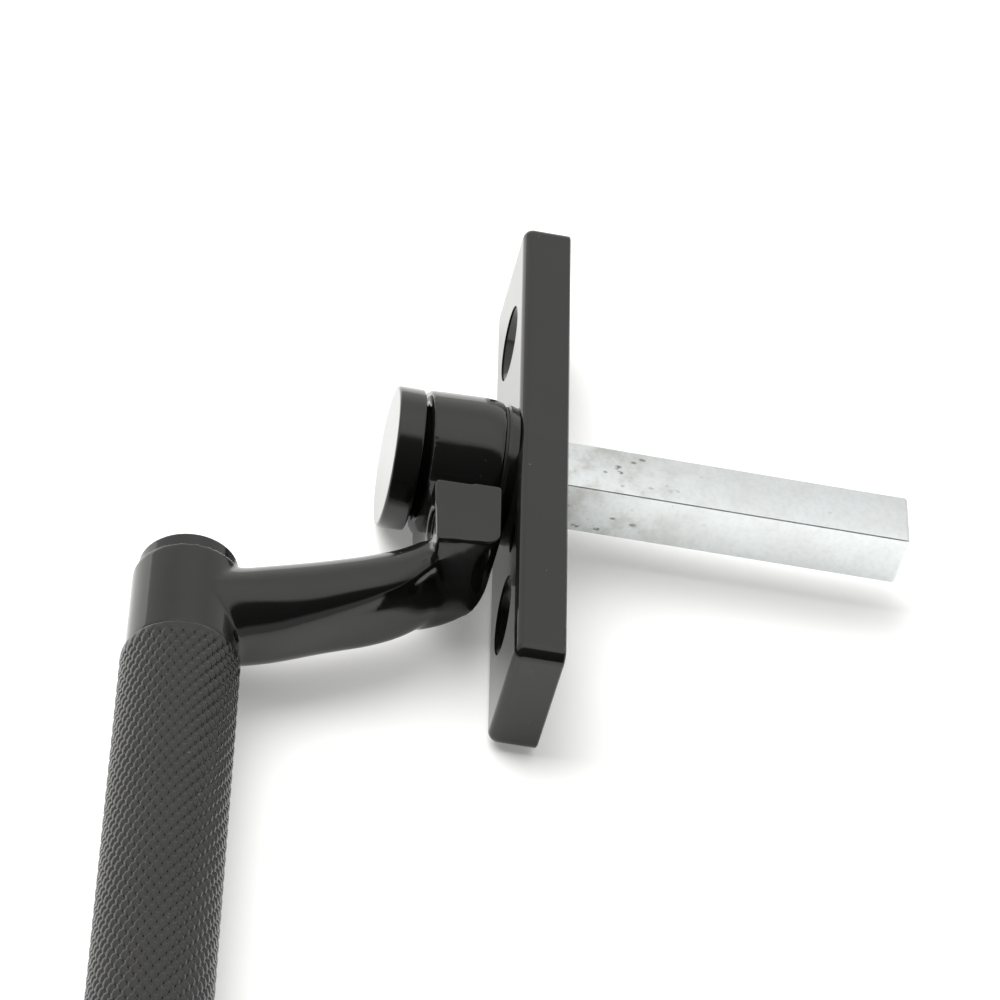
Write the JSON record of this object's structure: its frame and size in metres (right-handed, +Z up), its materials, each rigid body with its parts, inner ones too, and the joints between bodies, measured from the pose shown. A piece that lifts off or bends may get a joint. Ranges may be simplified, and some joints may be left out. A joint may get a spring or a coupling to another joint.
{
  "type": "casement window handle",
  "caption": "Casement window handle: knurled bar grip on a cranked neck, round capped hub, slim rectangular backplate and square drive spindle.",
  "frame": {"origin": "on the spindle axis at the backplate's back face, midway between the two fixing holes", "axes": "+Z up along the plate, the grip hangs towards -Z; +Y along the spindle into the window; +X to the right of a person facing the handle"},
  "size_m": [0.0164, 0.0865, 0.1537],
  "materials": {
    "black_coat": "gloss black powder coat",
    "black_cap": "black, faced front with fine brushing",
    "knurl_black": "satin black over diamond knurl",
    "zinc_plate": "bright zinc plating, slightly stained",
    "steel": "plain steel",
    "spring_steel": "blued spring steel",
    "nylon": "natural nylon",
    "black_steel": "black oxide"
  },
  "bodies": {
    "plate": {"backplate": "black_coat", "bearing_collar": "black_coat", "thrust_washer": "nylon", "wave_washer": "spring_steel", "leaf_springs": "spring_steel", "back_cover": "zinc_plate", "cover_rivets": "steel"},
    "lever": {"handle_lever": "black_coat", "hub_bush": "nylon", "hub_cap": "black_cap", "screw_washer": "steel", "spindle_screw": "steel", "spindle_bar": "zinc_plate", "index_cam": "nylon", "spindle_circlip": "spring_steel", "grip_sleeve": "knurl_black", "grip_dowel": "steel", "grip_top_cap": "black_coat", "grip_bottom_collar": "black_coat", "grip_bottom_cap": "black_coat", "grip_tie_rod": "steel"},
    "lock_screw": {"lock_screw": "black_steel"}
  },
  "joints": [
    {"name": "handle_turn", "type": "hinge", "parent": "plate", "child": "lever", "pos_m": [0, 0, 0], "axis": [0, -1, 0], "range_deg": [0, 90], "deforming": ["leaf_springs"]},
    {"name": "lock_screw_travel", "type": "slide", "parent": "lever", "child": "lock_screw", "axis": [0, 1, 0], "range_m": [0, 0.00275]}
  ]
}
